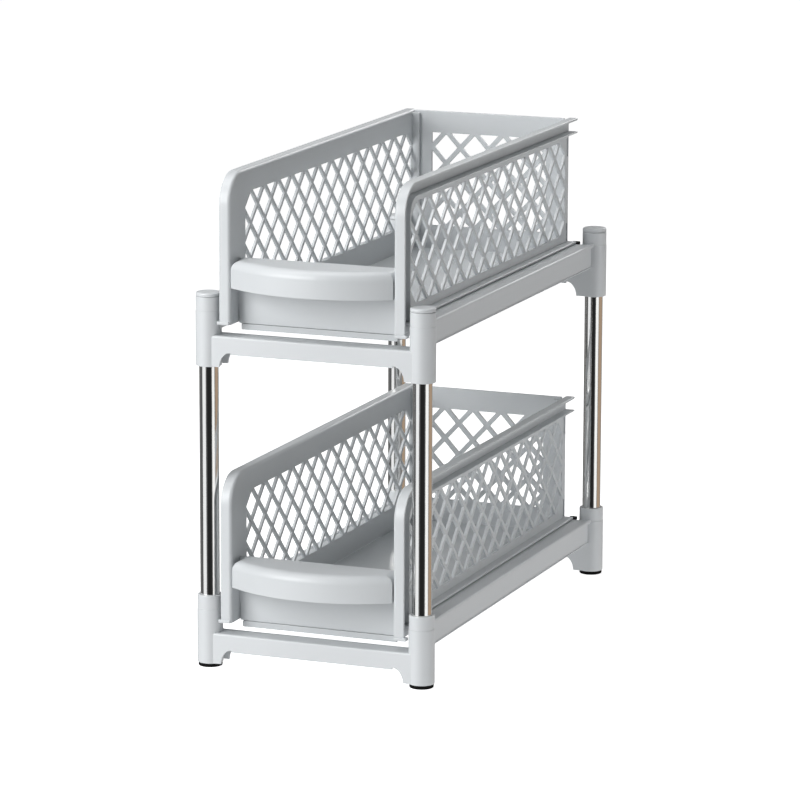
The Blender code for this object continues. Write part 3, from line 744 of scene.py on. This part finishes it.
def drawer_front():
    """The front of a drawer, its places counted from the front posts' axes."""
    outline = [(-half_width, panel_foot), (half_width, panel_foot)]
    outline += [(half_width, hood_top), (-half_width, hood_top)]
    wall = new_piece("wall", [swept(outline, front_wall_front, front_wall_rear, "XZ")])
    hood = bowed_block(half=0.0655, front=wall_front, rear=0.0101, bottom=0.0645, top=hood_top,
                       edge=0.0072)
    hollow = bowed_block(half=0.0635, front=-0.0050, rear=0.0096, bottom=0.0635, top=0.0835,
                         edge=0.0052)
    hood = carved(new_piece("hood", [hood]), new_piece("hollow", [hollow]))
    carved(wall, hood, "UNION")
    shapes = [as_shape(softened(wall, 0.00035, angle=40))]
    hook_low, hook_high = low_hook
    for side in (-1, 1):
        near, far = sorted((side * front_hook_inner, side * wall_outer))
        low, high = (near, front_wall_front, hook_low), (far, front_wall_rear, hook_high)
        shapes.append(as_shape(soft_block(low, high, 0.0003)))
    return new_piece("front", shapes)


for tier, rise in tiers.items():
    front = placed(drawer_front(), tier + "_drawer_front_moulding", rise, "right")
    fit(front, tier + "_drawer", [tier + "_drawer_front_panel"], drawer_plastic)

# Trays. Each is a smooth floor with a skirt below it, in a glossier plastic. Three hooks on each
# side of the skirt snap into the lugs of the drawer's sides, and the floor's rear corners are
# notched round their returns.
tray_half = 0.0635
tray_top = 0.0366
tray_under = 0.0346
floor_front = 0.0115
floor_rear = 0.3724
skirt_foot = 0.0304
skirt_front = 0.0080
skirt_rear = 0.3762
skirt_top = 0.0350
tray_hook_inner = 0.0626
tray_hook_half = 0.0067
tray_hook_under = 0.0327
tray_hook_over = 0.0347


def tray():
    """The tray of a drawer, its places counted from the front posts' axes."""
    section = [(skirt_front, skirt_foot), (skirt_front, skirt_top), (floor_front, skirt_top)]
    section += [(floor_front, tray_top), (floor_rear, tray_top)]
    section += [(floor_rear, skirt_top), (skirt_rear, skirt_top), (skirt_rear, skirt_foot)]
    body = new_piece("tray", [swept(section, -tray_half, tray_half, "YZ")])
    inside_low, inside_high = (-0.0617, 0.0133, 0.0200), (0.0617, 0.3706, tray_under)
    carved(body, soft_block(inside_low, inside_high, 0.0006))
    outline = [(-half_width, tray_under), (half_width, tray_under)]
    outline += [(half_width, tray_top), (-half_width, tray_top)]
    carved(body, new_piece("floor", [swept(outline, floor_front, floor_rear, "XZ")]), "UNION")
    notch_inner, notch_outer, notch_front, notch_rear = 0.0597, 0.0685, 0.3691, 0.3727
    notch_under, notch_over = 0.0356, 0.0400
    for side in (-1, 1):
        near, far = sorted((side * notch_inner, side * notch_outer))
        notch = [(near, notch_under), (far, notch_under), (far, notch_over), (near, notch_over)]
        carved(body, new_piece("notch", [swept(notch, notch_front, notch_rear, "XZ")]))
    softened(body, 0.0003)
    shapes = [as_shape(body)]
    for middle in lug_middles:
        for side in (-1, 1):
            near, far = sorted((side * tray_hook_inner, side * wall_outer))
            low = (near, middle - tray_hook_half, tray_hook_under)
            high = (far, middle + tray_hook_half, tray_hook_over)
            shapes.append(as_shape(soft_block(low, high, 0.0003)))
    return new_piece("tray", shapes)


tray_plastic = moulded_plastic("tray_plastic", drawer_grey, smoothest=0.10, grain_strength=0.04)
for tier, rise in tiers.items():
    item = placed(tray(), tier + "_drawer_tray_moulding", rise, "right")
    fit(item, tier + "_drawer", [tier + "_drawer_tray"], tray_plastic)

# Floor and light. A pale floor that glows, soft boxes in front, overhead, low on the right and
# behind, cards that the chrome and the plastic mirror, and a camera where the photograph was taken.
floor_mesh = bpy.data.meshes.new("floor")
floor_mesh.from_pydata([(-9, -9, 0), (9, -9, 0), (9, 12, 0), (-9, 12, 0)], [], [(0, 1, 2, 3)])
floor = bpy.data.objects.new("floor", floor_mesh)
bpy.context.scene.collection.objects.link(floor)
floor_material, floor_shader, _ = new_material("floor_white")
floor_shader.inputs["Base Color"].default_value = (0.90, 0.90, 0.90, 1)
floor_shader.inputs["Roughness"].default_value = 0.9
floor_shader.inputs["Emission Color"].default_value = (1, 1, 1, 1)
floor_shader.inputs["Emission Strength"].default_value = 0.90
floor_mesh.materials.append(floor_material)
floor.visible_diffuse = False
floor.visible_glossy = False

world = bpy.data.worlds.new("studio")
bpy.context.scene.world = world
world.use_nodes = True
world.node_tree.nodes["Background"].inputs["Color"].default_value = (0.97, 0.985, 1.0, 1)
world.node_tree.nodes["Background"].inputs["Strength"].default_value = 0.11


def soft_light(name, place, aim, width, height, power):
    """A soft box that points at a place on the rack."""
    light = bpy.data.lights.new(name, "AREA")
    light.shape = "RECTANGLE"
    light.size = width
    light.size_y = height
    light.energy = power
    lamp = bpy.data.objects.new(name, light)
    lamp.location = place
    lamp.rotation_euler = (Vector(aim) - Vector(place)).to_track_quat("-Z", "Y").to_euler()
    lamp.visible_camera = False
    bpy.context.scene.collection.objects.link(lamp)
    return lamp


# The key light, the light from high up and the one overhead shape the rack. The rim light behind
# only puts a gloss on its edges, and the three low lights only lift its shades.
soft_light("key", (-0.75, -1.35, 0.75), (0, -0.1, 0.2), 0.9, 0.9, 17.5)
soft_light("high", (-0.45, -0.45, 1.55), (0, -0.05, 0.2), 0.9, 0.9, 8.5)
soft_light("top", (0.1, 0.25, 1.6), (0, 0.05, 0.2), 1.0, 1.0, 5.2)
rim_light = soft_light("rim", (0.15, 1.70, 1.00), (0, 0.05, 0.2), 0.6, 0.6, 6.0)
rim_light.visible_diffuse = False
low_lights = [soft_light("front", (-0.30, -1.57, 0.10), (0, 0, 0.17), 0.7, 0.5, 3.0),
              soft_light("side", (1.45, 0.10, 0.12), (0, 0, 0.2), 0.9, 0.4, 5.6),
              soft_light("bounce", (0, 0, 0.0005), (0, 0, 1), 1.6, 1.6, 5.8)]
for lamp in low_lights:
    lamp.visible_glossy = False


card_distance = 3.0
card_height = 3.0


def room_card(name, start, end, color):
    """A card far off, between two bearings in degrees, that shows only in reflections."""
    ends = []
    for bearing in (start, end):
        turn = math.radians(bearing)
        ends.append((card_distance * math.sin(turn), -card_distance * math.cos(turn)))
    mesh = bpy.data.meshes.new(name)
    corners_of_card = [(x, y, z) for z in (-card_height, card_height) for x, y in ends]
    mesh.from_pydata(corners_of_card, [], [(0, 1, 3, 2)])
    card = bpy.data.objects.new(name, mesh)
    bpy.context.scene.collection.objects.link(card)
    material, shader, _ = new_material(name)
    shader.inputs["Base Color"].default_value = (0, 0, 0, 1)
    shader.inputs["Specular IOR Level"].default_value = 0
    shader.inputs["Emission Color"].default_value = color
    shader.inputs["Emission Strength"].default_value = 1
    mesh.materials.append(material)
    card.visible_camera = False
    card.visible_diffuse = False
    card.visible_shadow = False


room_card("dim_left", -130, -93, (0.17, 0.17, 0.17, 1))
room_card("white_left", -58, -17, (0.95, 0.96, 0.97, 1))
room_card("black_front", -3, 43, (0.02, 0.02, 0.02, 1))
room_card("white_right", 54, 90, (1.05, 1.05, 1.04, 1))
room_card("warm_right", 96, 150, (0.42, 0.31, 0.22, 1))
room_card("white_back", 156, 214, (0.48, 0.48, 0.48, 1))

camera_place = (1.27167, -3.25209, 0.89853)
turn, drop, roll = math.radians(21.424), math.radians(11.646), math.radians(0.178)
right = Vector((math.cos(turn), math.sin(turn), 0))
back = Vector((math.sin(turn) * math.cos(drop), -math.cos(turn) * math.cos(drop), math.sin(drop)))
up = back.cross(right)
leaning_right = right * math.cos(roll) + up * math.sin(roll)
leaning_up = up * math.cos(roll) - right * math.sin(roll)
lens = bpy.data.cameras.new("camera")
lens.lens = 202.56
lens.sensor_width = 36
lens.clip_start = 0.1
lens.clip_end = 50
camera = bpy.data.objects.new("camera", lens)
columns = (leaning_right, leaning_up, back)
rows = [[column[axis] for column in columns] + [camera_place[axis]] for axis in range(3)]
camera.matrix_world = Matrix(rows + [[0, 0, 0, 1]])
bpy.context.scene.collection.objects.link(camera)
bpy.context.scene.camera = camera
bpy.context.scene.view_settings.view_transform = "Standard"
